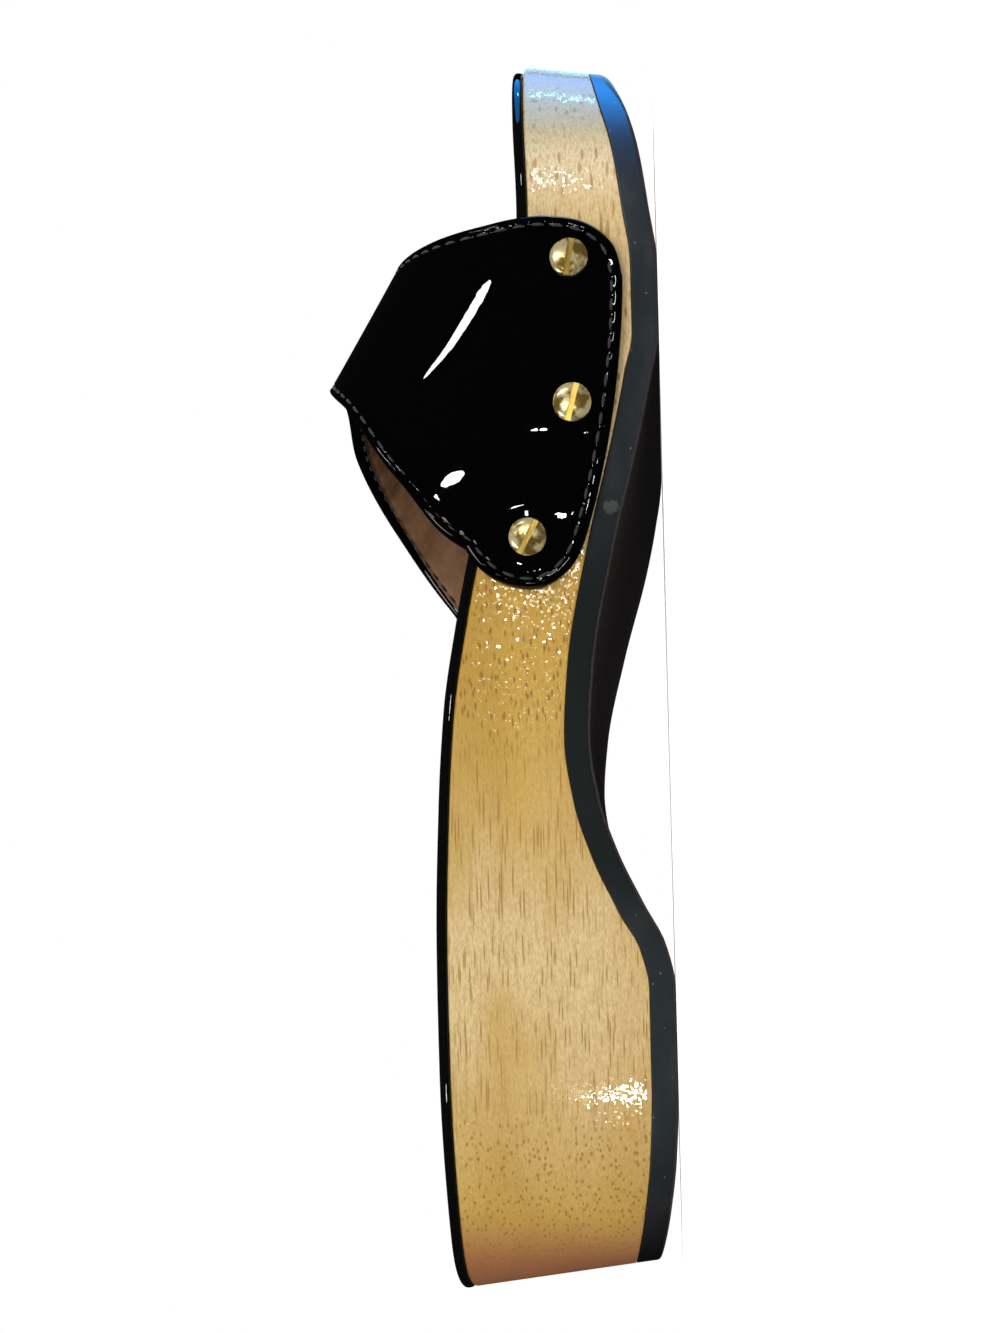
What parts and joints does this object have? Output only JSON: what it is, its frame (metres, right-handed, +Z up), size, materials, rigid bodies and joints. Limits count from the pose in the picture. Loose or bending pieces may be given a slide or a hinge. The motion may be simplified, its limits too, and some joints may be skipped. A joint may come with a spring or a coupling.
{
  "type": "slide sandal",
  "caption": "Wooden-soled slide sandal with a broad patent strap screwed to the sole's sides, an arched rubber tread and open toe and heel.",
  "frame": {"origin": "middle of the bounding box's bottom face, on the floor", "axes": "+X from heel to toe, +Y to the outer side of the left foot, +Z up"},
  "size_m": [0.25, 0.0958, 0.0694],
  "materials": {
    "rubber": "matt slate-black rubber",
    "wood": "clear gloss varnish over pale golden wood",
    "insole_patent": "black patent",
    "strap_patent": "mirror-gloss black patent, tan lining",
    "brass": "polished"
  },
  "bodies": {
    "root": {"outsole": "rubber", "wood_sole": "wood", "insole": "insole_patent", "upper": "strap_patent", "screw_medial_front": "brass", "screw_medial_middle": "brass", "screw_medial_back": "brass", "screw_lateral_front": "brass", "screw_lateral_middle": "brass", "screw_lateral_back": "brass"}
  },
  "joints": []
}
